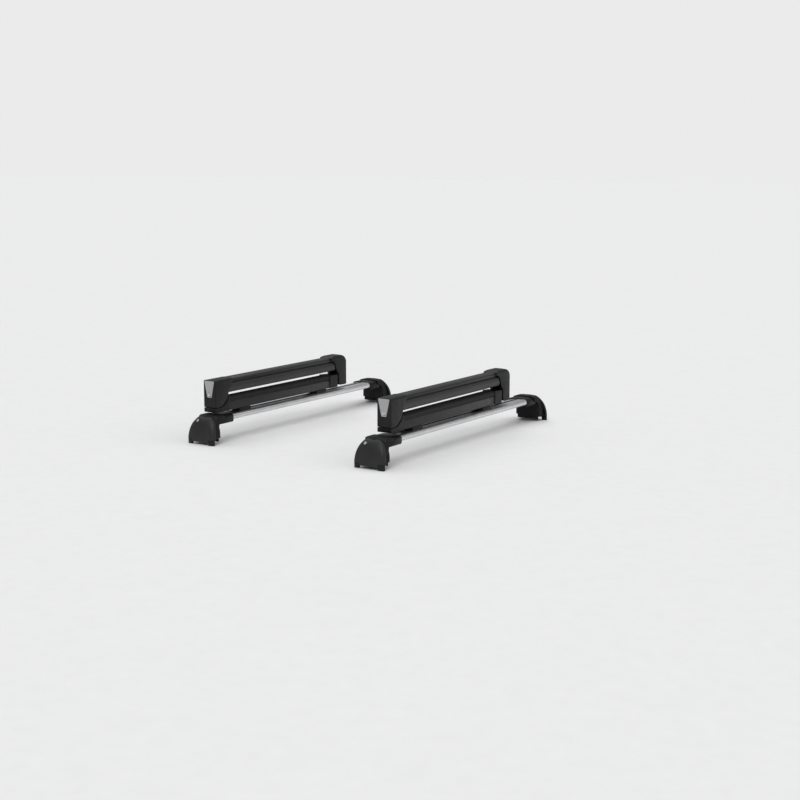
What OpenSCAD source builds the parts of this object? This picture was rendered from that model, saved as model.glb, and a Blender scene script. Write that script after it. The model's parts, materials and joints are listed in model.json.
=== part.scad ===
// Roof ski rack: two wing cross bars on four rail feet, each bar with a hinged ski and snowboard carrier.
//
// Frame: +X along the bars, from the side with the push buttons to the side with the hinges.
//        +Y from the front bar to the rear bar. +Z up, with z = 0 at the tips of the feet's clamp prongs.
// Units: millimetres.

/* [Rack] */
// Width over the outer faces of the feet
rack_w = 1014; // [900:1:1200]
// Distance between the two cross bars
bar_spacing = 660; // [400:1:900]
// Place of the front carrier's middle along its bar
front_carrier_x = -66; // [-72:1:40]
// Place of the rear carrier's middle along its bar
rear_carrier_x = -98; // [-100:1:40]

/* [Carrier] */
// Length of one carrier
carrier_l = 716; // [640:1:760]
// Width of the plastic ends of a carrier
carrier_w = 51; // [50:0.5:56]
// Width of the two aluminium profiles of a carrier
profile_w = 46; // [45:0.5:47]
// Height of the base's underside
base_z = 97; // [95:0.5:99]
// Height of the arm's top
arm_top_z = 203; // [202:0.5:206]
// Height of the lower rubber's crown, where the skis lie
lower_rubber_z = 143; // [140:0.5:144]
// Height of the upper rubber's lowest line
upper_rubber_z = 154; // [152:0.5:158]
// Travel of the push button
button_travel = 5; // [3:0.5:5]

/* [Cross bar] */
// Width of the wing section
bar_w = 75; // [70:0.5:76]
// Thickness of the wing section
bar_t = 20; // [18:0.5:20]
// Height of the bar's flat top
bar_top_z = 87; // [86:0.5:87]
// Width of the T-slot's mouth
slot_mouth_w = 11; // [8:0.5:12]

/* [Foot] */
// Width of the outer cover at its foot
foot_w = 112; // [106:1:114]
// Height of the outer cover
foot_h = 92; // [90:0.5:94]
// Height of the pad's underside, where the foot sits on the rail
seat_z = 16; // [15:0.5:17]
// Wall of the outer cover
cover_wall = 2.6; // [2:0.1:3]

/* [Hidden] */
$fn = 48;
ROWS = ["front", "rear"];
SIDES = ["right", "left"];
CARRIER_PARTS = ["base_profile", "base_rubber", "base_end_cap", "hinge_base", "hinge_pin", "arm_profile",
    "arm_rubber", "hinge_cap", "latch_housing", "button", "key_lock", "latch_hook", "latch_spring",
    "mount_saddles", "mount_bolts"];
BAR_PARTS = ["crossbar", "slot_strip", "bar_sleeves"];
FOOT_PARTS = ["foot_body", "foot_cover", "foot_lock", "rail_pad", "clamp_jaw", "clamp_screw"];

BLACK_PLASTIC = "#1d1e20";
BLACK_METAL = "#17181a";
RUBBER = "#2b2c2e";
SILVER = "#b9bcc0";
GREY_BUTTON = "#9b9da0";
STEEL = "#8d9094";

corner_steps = 8;      // points round one rounded corner
running_gap = 0.05;    // radial clearance of a pin or a lock cylinder in its bore
part_gap = 0.5;        // visible gap between neighbouring plastic parts
through = 1;           // how far a cut runs past the face it opens

// Carrier, measured along X from the outer face of its latch housing, and up from z = 0
seam_x = 86;                       // upper seam between the housing and the arm
base_start_x = 70;                 // start of the base profile
hinge_base_x = carrier_l - 100;    // start of the hinge base, end of the base profile
cap_x = carrier_l - 94;            // upper seam between the arm and the hinge cap
hinge_x = carrier_l - 22;
hinge_z = base_z + 21;
pin_r = 4;
knuckle_r = 11;
knuckle_w = 24;
cap_top_z = arm_top_z + 7;         // crown of the hinge cap, a hump above the arm
carrier_z = [base_z - through, cap_top_z + 2];
arm_groove_z = arm_top_z - 10.5;   // dark line between the arm's profile and its rubber
housing_z = base_z + 17;           // underside of the latch housing
spine_w = 26;                      // tube under the arm's top that carries the rubber
spine_z = arm_top_z - 24;          // underside of that tube
button_z = [146, 200];             // lower and upper edge of the button
button_half_w = [8.6, 20.8];       // half its width at those two edges
button_t = 3.2;
key_z = 156;
key_r = 4.5;
stem_z = 172;
spring_z = 188;
spring_end_x = 14;
hook_x = 22;                       // trunnion of the latch hook
hook_z = 150;
hook_w = 16;
trunnion_r = 3;
mount_x = [150, carrier_l - 150];  // the two mounting bolts

// Foot, measured along X inwards from the foot's outer face
face_depth = 50;                   // how far the cover's face leans back at the top
cover_hinge = [30, foot_h - 7.5];
cover_knuckle_r = 3.8;
cover_pin_r = 2;
cover_knuckle_y = [10, 22];
foot_lock_at = [14.5, 20, 75];
foot_lock_tilt = 35;
foot_lock_r = 5;
body_w = 92;
body_in_x = 47;                    // inner end of the foot at the rail
neck_x = 76;                       // inner end of the foot round the bar
screw_z = 36;
screw_r = 4;
prong_y = [foot_w / 2 - 21, foot_w / 2 - 1];
sleeve_x = [48, 122];
bar_in_x = 52;                     // the bar starts this far inside the foot

// ---------------------------------------------------------------- outlines

function unit(v) = v / norm(v);

// Points of an arc of radius r that rounds the corner b between the neighbours a and c
function corner_arc(a, b, c, r) =
    let (
        u = unit([a.x - b.x, a.y - b.y]),
        v = unit([c.x - b.x, c.y - b.y]),
        half = acos(u * v) / 2,
        centre = [b.x, b.y] + unit(u + v) * r / sin(half),
        from = [b.x, b.y] + u * r / tan(half) - centre,
        to = [b.x, b.y] + v * r / tan(half) - centre,
        start = atan2(from.y, from.x),
        turn = (atan2(to.y, to.x) - start + 540) % 360 - 180
    )
    [for (i = [0:corner_steps]) centre + r * [cos(start + turn * i / corner_steps),
                                              sin(start + turn * i / corner_steps)]];

// Outline whose corners are given as [x, y, radius]
function rounded(corners) = [
    for (i = [0:len(corners) - 1])
        let (n = len(corners), a = corners[(i + n - 1) % n], b = corners[i], c = corners[(i + 1) % n])
        each b[2] == 0 ? [[b.x, b.y]] : corner_arc(a, b, c, b[2])
];

// Rectangle from low to high with one corner radius
function rounded_box(low, high, r) =
    rounded([[low.x, low.y, r], [high.x, low.y, r], [high.x, high.y, r], [low.x, high.y, r]]);

// Bell curve: half its foot width and its height, from the foot to the crown
function bell(half_w, h, steps = 18) =
    [for (i = [0:steps]) let (a = 90 * i / steps) [half_w * pow(cos(a), 0.8), h * pow(sin(a), 0.8)]];

// Closed bell outline across the foot
function bell_outline(half_w, h) =
    let (side = bell(half_w, h), n = len(side) - 1)
    concat(side, [for (i = [n - 1:-1:0]) [-side[i].x, side[i].y]]);

// Wing section of the bar: blunt towards the front, thinner towards the rear, flat on top
function wing_outline(steps = 56) = [
    for (i = [0:steps - 1])
        let (
            a = 360 * i / steps,
            taper = 1 - 0.22 * (1 + cos(a)),
            bow = pow(abs(sin(a)), 0.62) * taper * bar_t * 0.68,
            mid = bar_top_z - bar_t / 2
        )
        [bar_w / 2 * cos(a), sin(a) >= 0 ? min(mid + bow, bar_top_z) : max(mid - bow, bar_top_z - bar_t)]
];

// ---------------------------------------------------------------- shapes

// Side view outline [x, z], given its width along Y
module side_plate(outline, width) {
    rotate([90, 0, 0]) linear_extrude(width, center = true) polygon(outline);
}

// Cross section [y, z], run along X from one place to another
module run(outline, from_x, to_x) {
    translate([from_x, 0, 0]) rotate([90, 0, 90]) linear_extrude(to_x - from_x) polygon(outline);
}

// Block between two corners
module block(low, high) {
    translate(low) cube(high - low);
}

// Block centred on y = 0
module middle_block(x, z, width) {
    block([x[0], -width / 2, z[0]], [x[1], width / 2, z[1]]);
}

// Plan view outline [x, y], raised from one height to another
module post(outline, z) {
    translate([0, 0, z[0]]) linear_extrude(z[1] - z[0]) polygon(outline);
}

// Round bar along X
module rod_x(x, y, z, r, faces = $fn) {
    translate([x[0], y, z]) rotate([0, 90, 0]) cylinder(h = x[1] - x[0], r = r, $fn = faces);
}

// Round bar along Y
module rod_y(x, y, z, r) {
    translate([x, y[1], z]) rotate([90, 0, 0]) cylinder(h = y[1] - y[0], r = r);
}

// Round bar along Z
module rod_z(x, y, z, r, faces = $fn) {
    translate([x, y, z[0]]) cylinder(h = z[1] - z[0], r = r, $fn = faces);
}

// ---------------------------------------------------------------- carrier: base

module base_profile() {
    wall = 2.2;
    top = base_z + 29;
    mouth_w = 30;
    color(BLACK_METAL) difference() {
        run(rounded_box([-profile_w / 2, base_z], [profile_w / 2, top], 3), base_start_x, hinge_base_x);
        run(rounded_box([wall - profile_w / 2, base_z + wall], [profile_w / 2 - wall, top - wall], 1.5),
            base_start_x - through, hinge_base_x + through);
        middle_block([base_start_x - through, hinge_base_x + through], [top - 2 * wall, top + through],
                     mouth_w);
        for (x = mount_x) rod_z(x, 0, [base_z - through, base_z + wall + through], 3.3);
    }
}

module base_rubber() {
    lip_z = base_z + 29;
    steps = 16;
    crown = [for (i = [0:steps]) let (a = 180 * i / steps)
        [21.5 * cos(a), lower_rubber_z - 9 + 9 * pow(sin(a), 0.7)]];
    outline = concat([[-13, lip_z - 5.6], [13, lip_z - 5.6], [13, lip_z], [22.5, lip_z + 0.2],
                      [23, lip_z + 3]], crown, [[-23, lip_z + 3], [-22.5, lip_z + 0.2], [-13, lip_z]]);
    color(RUBBER) run(outline, base_start_x, hinge_base_x);
}

module base_end_cap() {
    outline = rounded([[0, base_z + 14.5, 1], [3, base_z, 3], [base_start_x, base_z, 0],
                       [base_start_x, lower_rubber_z - 1, 0], [64.5, lower_rubber_z - 1, 1],
                       [55, 126, 24], [32, base_z + 14.5, 24]]);
    color(BLACK_PLASTIC) difference() {
        union() {
            intersection() {
                side_plate(outline, carrier_w);
                post(near_end_plan(), carrier_z);
            }
            run(rounded_box([-20, base_z + 2.6], [20, base_z + 21], 2), base_start_x - through,
                base_start_x + 20);
        }
        difference() {
            middle_block([5, 34], [base_z + 3, base_z + 15], 19);
            middle_block([24, 29], [base_z + 9.5, base_z + 14], 19);
        }
        run(rounded_box([-17, base_z + 5], [17, base_z + 18], 2), 38, base_start_x + 20 + through);
    }
}

module hinge_base() {
    ends = [hinge_base_x, hinge_x - 35];
    color(BLACK_PLASTIC) difference() {
        union() {
            side_plate(rounded([[ends[0], base_z, 0], [ends[1], base_z, 4],
                                [ends[1], lower_rubber_z - 3, 5], [ends[0], lower_rubber_z - 1, 0]]),
                       carrier_w - 1);
            middle_block([ends[1] - 4, hinge_x], [hinge_z - knuckle_r, hinge_z + knuckle_r], knuckle_w);
            rod_y(hinge_x, [-knuckle_w / 2, knuckle_w / 2], hinge_z, knuckle_r);
            run(rounded_box([-20, base_z + 2.6], [20, base_z + 21], 2), ends[0] - 20, ends[0] + through);
        }
        rod_y(hinge_x, [-knuckle_w, knuckle_w], hinge_z, pin_r);
    }
}

module hinge_pin() {
    color(STEEL) rod_y(hinge_x, [-22, 22], hinge_z, pin_r);
}

// ---------------------------------------------------------------- carrier: arm

module arm_profile() {
    crown = rounded([[-profile_w / 2, arm_groove_z, 0], [profile_w / 2, arm_groove_z, 0],
                     [profile_w / 2 - 1.5, arm_top_z - 3, 4], [12, arm_top_z, 8], [-12, arm_top_z, 8],
                     [1.5 - profile_w / 2, arm_top_z - 3, 4]]);
    color(BLACK_METAL) difference() {
        union() {
            run(crown, seam_x + part_gap, cap_x - part_gap);
            run(rounded_box([-spine_w / 2, spine_z], [spine_w / 2, arm_groove_z + 1], 1),
                seam_x + part_gap, cap_x - part_gap);
        }
        run(rounded_box([2 - spine_w / 2, spine_z + 2], [spine_w / 2 - 2, arm_top_z - 4], 1.5),
            seam_x, cap_x);
    }
}

// Side view of the end of the rubber next to the latch housing, and next to the hinge cap
housing_edge = [[64, upper_rubber_z - 2], [70, 173], [seam_x, arm_groove_z]];
cap_edge = [[cap_x + 12, arm_groove_z], [cap_x + 24, 180], [cap_x + 34, upper_rubber_z - 2]];

module arm_rubber() {
    steps = 20;
    mid_z = (upper_rubber_z + arm_groove_z) / 2;
    half_h = (arm_groove_z - upper_rubber_z) / 2;
    bulge = [for (i = [0:steps])
        let (a = 180 * i / steps) [23 * pow(sin(a), 0.6), mid_z - half_h * cos(a)]];
    left = [for (i = [len(bulge) - 2:-1:1]) [-bulge[i].x, bulge[i].y]];
    shift = [part_gap, 0];
    ends = concat([for (p = housing_edge) p + shift], [for (p = cap_edge) p - shift]);
    color(RUBBER) difference() {
        intersection() {
            run(concat(bulge, left), 0, carrier_l);
            side_plate(ends, carrier_w);
        }
        middle_block([0, carrier_l], [spine_z - 0.2, arm_top_z], spine_w + 0.4);
        run(rounded_box([-15, upper_rubber_z + 6], [15, spine_z - 5], 5), 0, carrier_l);
    }
}

module hinge_cap() {
    shell = 3.2;
    ear_in = knuckle_w / 2 + part_gap;
    outline = rounded([[cap_x, arm_top_z, 0], [cap_x + 28, cap_top_z, 60],
                       [carrier_l - 3, cap_top_z, 40], [carrier_l, base_z + 4, 9],
                       [hinge_x - 26, base_z + 4, 9],
                       [hinge_x - 28, upper_rubber_z - 10, 0], cap_edge_corner(2), cap_edge_corner(1),
                       cap_edge_corner(0), [cap_x, arm_groove_z, 0]]);
    color(BLACK_PLASTIC) difference() {
        union() {
            intersection() {
                side_plate(outline, carrier_w);
                run(arm_section(cap_top_z), cap_x, carrier_l + through);
                post(rounded([[cap_x, -carrier_w / 2, 0], [carrier_l, -carrier_w / 2, 8],
                              [carrier_l, carrier_w / 2, 8], [cap_x, carrier_w / 2, 0]]), carrier_z);
            }
            run(spigot(), cap_x - 20, cap_x + through);
        }
        // room for the knuckle and its neck between the two ears
        side_plate([[0, 0], [carrier_l - shell, 0], [carrier_l - shell, 150], [hinge_x - 10, 162],
                    [0, 162]], 2 * ear_in);
        // hollow of the shell above the ears
        side_plate(rounded([[cap_x + 20, 150, 0], [carrier_l - shell - 1, 150, 0],
                            [carrier_l - shell - 4, cap_top_z - shell - 4, 36],
                            [cap_x + 20, arm_top_z - shell - 2, 0]]), carrier_w - 2 * shell);
        rod_y(hinge_x, [-22.3, 22.3], hinge_z, pin_r + running_gap);
    }
}

function cap_edge_corner(i) = [cap_edge[i].x, cap_edge[i].y, 0];

// Section of the arm's two plastic ends: flat sides and a rounded top
function arm_section(crown_z) =
    rounded([[-carrier_w / 2, base_z, 0], [carrier_w / 2, base_z, 0], [carrier_w / 2, crown_z - 3.2, 7],
             [9, crown_z, 20], [-9, crown_z, 20], [-carrier_w / 2, crown_z - 3.2, 7]]);

// Section of the tongue by which a plastic end sits in the arm's tube
function spigot() =
    rounded_box([2.2 - spine_w / 2, spine_z + 2.2], [spine_w / 2 - 2.2, arm_top_z - 4.2], 1);

// Plan of the carrier's end next to the button: its two vertical edges are rounded
function near_end_plan() =
    rounded([[0, -carrier_w / 2, 4], [seam_x, -carrier_w / 2, 0], [seam_x, carrier_w / 2, 0],
             [0, carrier_w / 2, 4]]);

// Front view of the button, widened by a gap all round
function button_outline(gap) =
    let (w = [button_half_w[0] + gap, button_half_w[1] + gap], z = [button_z[0] - gap, button_z[1] + gap])
    rounded([[-w[0], z[0], 3], [w[0], z[0], 3], [w[1], z[1], 2.5], [-w[1], z[1], 2.5]]);

module latch_housing() {
    outline = rounded([[0, arm_top_z, 4], [0, housing_z, 1], [28, housing_z, 26], [56, 134, 22],
                       [63, 152, 6], [70, 173, 0], [seam_x, arm_groove_z, 0], [seam_x, arm_top_z, 0]]);
    pocket_x = button_t + button_travel + 0.4;
    color(BLACK_PLASTIC) difference() {
        union() {
            intersection() {
                side_plate(outline, carrier_w);
                run(arm_section(arm_top_z + 1.2), 0, seam_x);
                post(near_end_plan(), carrier_z);
            }
            run(spigot(), seam_x - through, seam_x + 20);
        }
        run(button_outline(part_gap), -through, pocket_x);
        rod_x([0, 22], 0, key_z, key_r + 1);
        middle_block([0, 22], [stem_z - 4, stem_z + 4], 11);
        rod_x([0, spring_end_x], 0, spring_z, 5.5);
        // room for the latch hook, open at the bottom
        side_plate([[5, housing_z - through], [34, housing_z - through], [34, 160], [29, 182], [12.5, 182],
                    [12.5, 150], [5, 126]], hook_w + 3);
        rod_y(hook_x, [-14, 14], hook_z, trunnion_r + running_gap);
        // hollow behind the latch, closed by the end of the rubber
        side_plate(rounded([[38, 122, 3], [48, 131, 8], [58, 145, 4], [61, 153, 0], [68, 175, 0],
                            [38, 175, 0]]), carrier_w - 6);
    }
}

module button() {
    stem_end_x = 14;
    color(GREY_BUTTON) difference() {
        union() {
            run(button_outline(0), -0.8, button_t);
            middle_block([button_t - through, stem_end_x - 3], [stem_z - 3, stem_z + 3], 9);
            rod_y(stem_end_x - 3, [-4.5, 4.5], stem_z, 3);
            rod_x([0, 8], 0, key_z, key_r + 0.9);
        }
        rod_x([-2, 10], 0, key_z, key_r + running_gap);
    }
}

module key_lock() {
    color(STEEL) difference() {
        rod_x([-1.4, 9.5], 0, key_z, key_r);
        middle_block([-2, 2], [key_z - 2.6, key_z + 2.6], 1.4);
    }
}

module latch_hook() {
    outline = rounded([[14.6, 179, 1], [14.6, 156, 2], [17, 146, 2], [17, base_z + 5, 1],
                       [23.7, base_z + 5, 1], [23.7, base_z + 9, 0], [22, base_z + 9, 0], [22, 142, 2],
                       [27, 147, 3], [27, 153, 3], [19, 160, 2], [19, 179, 1]]);
    color(STEEL) union() {
        side_plate(outline, hook_w);
        rod_y(hook_x, [-13.5, 13.5], hook_z, trunnion_r);
    }
}

// One point ring of the spring's wire
function wire_ring(centre, out, along, r, sides = 6) =
    [for (k = [0:sides - 1]) centre + r * (cos(360 * k / sides) * out + sin(360 * k / sides) * along)];

module latch_spring() {
    coil_r = 3.8;
    wire_r = 0.5;
    turns = 5;
    steps = 60;
    sides = 6;
    from_x = button_t + wire_r + 0.1;
    length = spring_end_x - wire_r - 0.1 - from_x;
    rings = [for (i = [0:steps])
        let (a = 360 * turns * i / steps, out = [0, cos(a), sin(a)])
        each wire_ring([from_x + length * i / steps, coil_r * cos(a), spring_z + coil_r * sin(a)], out,
                       [1, 0, 0], wire_r, sides)];
    skin = [for (i = [0:steps - 1], k = [0:sides - 1])
        let (a = i * sides + k, b = i * sides + (k + 1) % sides) [a, b, b + sides, a + sides]];
    first = [[for (k = [sides - 1:-1:0]) k]];
    last = [[for (k = [0:sides - 1]) steps * sides + k]];
    color(STEEL) polyhedron(rings, concat(skin, first, last));
}

// ---------------------------------------------------------------- carrier: mounting

module mount_saddles() {
    color(BLACK_PLASTIC) for (x = mount_x) difference() {
        translate([x, 0, 0])
            run([[-24, bar_top_z], [24, bar_top_z], [22, base_z], [-22, base_z]], -27, 27);
        rod_z(x, 0, [bar_top_z - through, base_z + through], 3.3);
    }
}

module mount_bolts() {
    head_z = bar_top_z - 7.3;
    color(STEEL) for (x = mount_x) {
        rod_z(x, 0, [head_z, base_z + 14], 3);
        middle_block([x - 9, x + 9], [head_z, head_z + 4.6], 17);
        rod_z(x, 0, [base_z + 2.2, base_z + 3.8], 8);
        rod_z(x, 0, [base_z + 3.8, base_z + 9], 5.8, 6);
    }
}

// ---------------------------------------------------------------- cross bar

module crossbar() {
    mid_z = bar_top_z - bar_t / 2;
    half_l = rack_w / 2 - bar_in_x;
    cut_l = half_l + through;
    color(SILVER) difference() {
        run(wing_outline(), -half_l, half_l);
        middle_block([-cut_l, cut_l], [bar_top_z - 11.5, bar_top_z - 2.6], 22);
        middle_block([-cut_l, cut_l], [bar_top_z - 4, bar_top_z + through], slot_mouth_w);
        run(rounded_box([-32, mid_z - 6], [-13.5, mid_z + 6.5], 4), -cut_l, cut_l);
        run(rounded_box([13.5, mid_z - 4.6], [27, mid_z + 5], 3), -cut_l, cut_l);
    }
}

// Rubber strip in the T-slot, in three lengths that leave room for the two bolts
module slot_strip(carrier_x) {
    cuts = [sleeve_x[1] - rack_w / 2, carrier_x + mount_x[0], carrier_x + mount_x[1],
            rack_w / 2 - sleeve_x[1]];
    lip = slot_mouth_w / 2 - 0.2;
    z = [bar_top_z - 5, bar_top_z - 2.8, bar_top_z - 0.3];
    outline = [[-8, z[0]], [8, z[0]], [8, z[1]], [lip, z[1]], [lip, z[2]], [-lip, z[2]], [-lip, z[1]],
               [-8, z[1]]];
    color(RUBBER) for (i = [0:2])
        run(outline, cuts[i] + (i == 0 ? 0.5 : 11), cuts[i + 1] - (i == 2 ? 0.5 : 11));
}

module bar_sleeve() {
    difference() {
        run(rounded([[-39, 60, 7], [39, 62, 6], [39, bar_top_z - 1, 8], [20, bar_top_z + 1.8, 12],
                     [-20, bar_top_z + 1.8, 12], [-39, bar_top_z - 1, 8]]), sleeve_x[0], sleeve_x[1]);
        run(wing_outline(), sleeve_x[0] - through, sleeve_x[1] + through);
    }
}

module bar_sleeves() {
    color(BLACK_PLASTIC) for (side = SIDES) place_side(side) bar_sleeve();
}

// ---------------------------------------------------------------- foot

// Solid bell form of the cover, shrunk by an inset on every side
module cover_form(inset) {
    half_w = foot_w / 2 - inset;
    h = foot_h - inset;
    face = [for (p = bell(1, h)) [inset + face_depth * (1 - p.x), p.y]];
    intersection() {
        run(bell_outline(half_w, h), inset, face_depth);
        side_plate(concat(face, [[face_depth + inset, 0]]), foot_w);
    }
}

module cover_hinge_rod(y, r) {
    rod_y(cover_hinge.x, y, cover_hinge.y, r);
}

module foot_cover() {
    notch_y = prong_y[0] - 0.6;
    color(BLACK_PLASTIC) difference() {
        union() {
            difference() {
                cover_form(0);
                cover_form(cover_wall);
                // everything inboard of the cover's side edge
                side_plate([[15, 0], [17, 34], [25, 60], [cover_hinge.x, 75], [cover_hinge.x, foot_h + 1],
                            [100, foot_h + 1], [100, 0]], foot_w + 2);
                // lower edge, with a notch over each prong
                middle_block([-through, face_depth], [-through, 9], foot_w + 2);
                for (s = [-1, 1]) translate([0, s * (notch_y + 30), 0])
                    middle_block([-through, face_depth], [-through, 18], 60);
                middle_block([cover_hinge.x - 4.4, face_depth], [cover_hinge.y - 6, foot_h + 1],
                             2 * cover_knuckle_y[0]);
            }
            for (s = [-1, 1]) translate([0, s * (cover_knuckle_y[0] + cover_knuckle_y[1]) / 2, 0])
                cover_hinge_rod([-6, 6], cover_knuckle_r);
            cover_hinge_rod([-cover_knuckle_y[1], cover_knuckle_y[1]], cover_pin_r);
            foot_lock_place() cylinder(h = 9, r = foot_lock_r + 2.4);
        }
        foot_lock_place() translate([0, 0, -through]) cylinder(h = 20, r = foot_lock_r + running_gap);
    }
}

// Frame of the foot lock: +Z runs into the cover, square to its shoulder
module foot_lock_place() {
    translate(foot_lock_at) rotate([0, 90 + foot_lock_tilt, 0]) children();
}

module foot_lock() {
    color(SILVER) foot_lock_place() difference() {
        union() {
            translate([0, 0, -0.8]) cylinder(h = 12, r = foot_lock_r);
            translate([-2, -2, 9.5]) cube([9, 4, 1.7]);
        }
        translate([-0.7, -2.6, -1]) cube([1.4, 5.2, 3]);
    }
}

module foot_body() {
    neck_w = 84;
    side_view = rounded([[17.4, seat_z + 4, 0], [17.4, 46, 0], [26, 60, 0], [34.6, 78, 0],
                         [34.6, foot_h - 1, 3], [neck_x, foot_h - 0.5, 1], [neck_x, 75, 1],
                         [58, 70, 10], [45, 57, 8], [body_in_x, 38, 6], [body_in_x, seat_z + 4, 1]]);
    front_view = rounded([[-body_w / 2, seat_z + 4, 0], [body_w / 2, seat_z + 4, 0], [body_w / 2, 44, 20],
                          [neck_w / 2, 66, 12], [neck_w / 2, foot_h - 1, 12], [-neck_w / 2, foot_h - 1, 12],
                          [-neck_w / 2, 66, 12], [-body_w / 2, 44, 20]]);
    color(BLACK_PLASTIC) difference() {
        union() {
            intersection() {
                side_plate(side_view, foot_w);
                run(front_view, 0, neck_x + through);
            }
            // core behind the cover
            intersection() {
                side_plate([[18, seat_z + 4], [18, 46], [29, 54], [29, 76], [36, 82], [36, seat_z + 4]],
                           foot_w);
                run(bell_outline(body_w / 2, foot_h - 5), 0, 40);
            }
            // lip that hooks over the rail's inner edge
            middle_block([42.5, body_in_x], [8, seat_z + 5], 80);
            cover_hinge_rod([0.5 - cover_knuckle_y[0], cover_knuckle_y[0] - 0.5], cover_knuckle_r);
            middle_block([cover_hinge.x, 36],
                         [cover_hinge.y - cover_knuckle_r, cover_hinge.y + cover_knuckle_r],
                         2 * cover_knuckle_y[0] - 1);
        }
        rod_x([10, 41], 0, screw_z, screw_r + running_gap);
        cover_hinge_rod([-30, 30], cover_pin_r + running_gap);
        run([[-39.2, 55], [39.2, 55], [39.2, bar_top_z + 2], [-39.2, bar_top_z + 2]], sleeve_x[0], 90);
    }
}

module rail_pad() {
    color(RUBBER) side_plate(rounded([[18, seat_z, 1.2], [42, seat_z, 1.2], [42, seat_z + 4, 0],
                                      [18, seat_z + 4, 0]]), 88);
}

module clamp_jaw() {
    color(BLACK_METAL) difference() {
        union() {
            middle_block([8, 17], [seat_z + 0.5, seat_z + 8], 96);
            run(rounded([[-14, seat_z + 2, 0], [14, seat_z + 2, 0], [14, 46, 6], [-14, 46, 6]]), 13.5, 17);
            for (s = [-1, 1]) translate([0, s * (prong_y[0] + prong_y[1]) / 2, 0])
                side_plate(rounded([[0.5, 1.5, 1], [2, 0, 1], [9.5, 0, 1], [9.5, seat_z + 1, 0],
                                    [0.8, seat_z + 1, 1]]), prong_y[1] - prong_y[0]);
        }
        rod_x([10, 20], 0, screw_z, screw_r + running_gap);
    }
}

module clamp_screw() {
    color(STEEL) difference() {
        union() {
            rod_x([6.2, 9.7], 0, screw_z, 6);
            rod_x([9, 40], 0, screw_z, screw_r);
        }
        rod_x([5, 9], 0, screw_z, 3, 6);
    }
}

// ---------------------------------------------------------------- assembly

function row_y(row) = (row == "front" ? -0.5 : 0.5) * bar_spacing;
function carrier_start(row) = (row == "front" ? front_carrier_x : rear_carrier_x) - carrier_l / 2;

// Puts a foot's or a sleeve's own frame at one end of the bar
module place_side(side) {
    if (side == "right") {
        translate([-rack_w / 2, 0, 0]) children();
    } else {
        translate([rack_w / 2, 0, 0]) mirror([1, 0, 0]) children();
    }
}

module carrier_part(part) {
    if (part == "base_profile") base_profile();
    if (part == "base_rubber") base_rubber();
    if (part == "base_end_cap") base_end_cap();
    if (part == "hinge_base") hinge_base();
    if (part == "hinge_pin") hinge_pin();
    if (part == "arm_profile") arm_profile();
    if (part == "arm_rubber") arm_rubber();
    if (part == "hinge_cap") hinge_cap();
    if (part == "latch_housing") latch_housing();
    if (part == "button") button();
    if (part == "key_lock") key_lock();
    if (part == "latch_hook") latch_hook();
    if (part == "latch_spring") latch_spring();
    if (part == "mount_saddles") mount_saddles();
    if (part == "mount_bolts") mount_bolts();
}

module bar_part(part, row) {
    if (part == "crossbar") crossbar();
    if (part == "slot_strip") slot_strip(carrier_start(row));
    if (part == "bar_sleeves") bar_sleeves();
}

module foot_part(part) {
    if (part == "foot_body") foot_body();
    if (part == "foot_cover") foot_cover();
    if (part == "foot_lock") foot_lock();
    if (part == "rail_pad") rail_pad();
    if (part == "clamp_jaw") clamp_jaw();
    if (part == "clamp_screw") clamp_screw();
}

for (row = ROWS) translate([0, row_y(row), 0]) {
    for (part = CARRIER_PARTS)
        translate([carrier_start(row), 0, 0]) carrier_part(part);
    for (part = BAR_PARTS)
        bar_part(part, row);
    for (side = SIDES, part = FOOT_PARTS)
        place_side(side) foot_part(part);
}
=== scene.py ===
"""Looks of the roof ski rack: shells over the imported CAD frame, and procedural finishes."""

import json
from math import cos, pi, radians, sin

import bmesh
import bpy
from mathutils import Matrix, Vector


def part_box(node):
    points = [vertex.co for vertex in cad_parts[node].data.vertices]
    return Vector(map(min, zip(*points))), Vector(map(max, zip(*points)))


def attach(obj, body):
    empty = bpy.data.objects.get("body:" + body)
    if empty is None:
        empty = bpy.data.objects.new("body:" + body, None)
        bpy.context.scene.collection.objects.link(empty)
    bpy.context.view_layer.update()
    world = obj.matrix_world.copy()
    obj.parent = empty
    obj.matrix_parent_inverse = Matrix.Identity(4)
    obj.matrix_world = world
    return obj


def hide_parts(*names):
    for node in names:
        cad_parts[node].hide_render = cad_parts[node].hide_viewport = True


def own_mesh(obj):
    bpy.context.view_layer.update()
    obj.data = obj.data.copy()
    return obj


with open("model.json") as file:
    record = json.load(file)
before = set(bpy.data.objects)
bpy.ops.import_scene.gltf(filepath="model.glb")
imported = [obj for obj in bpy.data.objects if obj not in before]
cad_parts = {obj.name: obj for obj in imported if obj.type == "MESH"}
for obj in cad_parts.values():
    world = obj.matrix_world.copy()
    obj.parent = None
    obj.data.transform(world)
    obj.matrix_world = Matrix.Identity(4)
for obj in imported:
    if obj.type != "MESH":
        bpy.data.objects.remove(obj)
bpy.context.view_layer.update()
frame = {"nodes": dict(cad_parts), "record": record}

MM = 0.001
ROWS = ("front", "rear")
SIDES = ("right", "left")
NODE_SLOT = {s["node"]: s["material_slot"] for s in frame["record"]["subparts"]}
NODE_BODY = {n: b for b, names in frame["record"]["behaviour"]["bodies"].items() for n in names}

# Camera: place in the rack's frame, compass heading from +Y towards +X, tilt down, lens for a 36 mm sensor
CAMERA_AT = (-3.932, -2.759, 0.924)
CAMERA_HEADING = 55.95
CAMERA_TILT = 9.67
CAMERA_LENS = 65.35

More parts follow.
